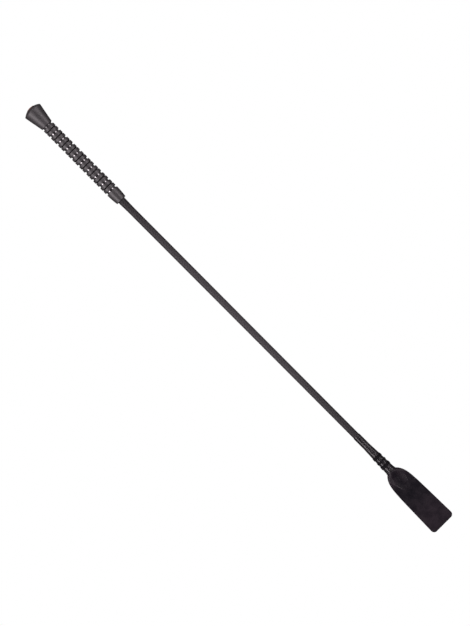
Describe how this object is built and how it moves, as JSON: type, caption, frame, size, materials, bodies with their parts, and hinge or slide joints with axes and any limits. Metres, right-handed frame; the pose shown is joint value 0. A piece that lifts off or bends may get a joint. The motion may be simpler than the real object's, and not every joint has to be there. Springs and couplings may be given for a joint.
{
  "type": "riding crop",
  "caption": "Short riding crop with a ribbed rubber grip, a flared butt, a braid-covered fibreglass shaft and a broad leather keeper bound on with thread.",
  "frame": {"origin": "on the crop's axis at the middle of the rubber grip, where the hand closes", "axes": "+X along the crop from the butt to the keeper, +Z square to the keeper's face, Y across the keeper"},
  "size_m": [0.65, 0.0308, 0.0228],
  "materials": {
    "grip_rubber": "satin",
    "stud_copper": "satin",
    "cap_plastic": "matte",
    "rod_fibreglass": "gloss",
    "braid_nylon": "satin",
    "tape_black": "satin",
    "tip_plastic": "matte",
    "thread_waxed": "gloss",
    "cord_black": "matte",
    "leather_front": "satin",
    "leather_back": "satin"
  },
  "bodies": {
    "crop": {"grip_moulding": "grip_rubber", "butt_stud": "stud_copper", "rod_end_cap": "cap_plastic", "core_rod": "rod_fibreglass", "braid_cover": "braid_nylon", "braid_end_tape": "tape_black", "rod_tip_cap": "tip_plastic", "whipping_thread": "thread_waxed", "thread_band_upper": "cord_black", "thread_band_middle": "cord_black", "thread_band_lower": "cord_black", "keeper_neck_front": "leather_front", "keeper_neck_back": "leather_back"},
    "keeper_flap": {"keeper_flap_front": "leather_front", "keeper_flap_back": "leather_back"}
  },
  "joints": [
    {"name": "keeper_flex", "type": "hinge", "parent": "crop", "child": "keeper_flap", "pos_m": [0.5081, 0, 0], "axis": [0, 1, 0], "range_deg": [-75, 75], "stiffness_Nm_per_rad": 0.03}
  ]
}
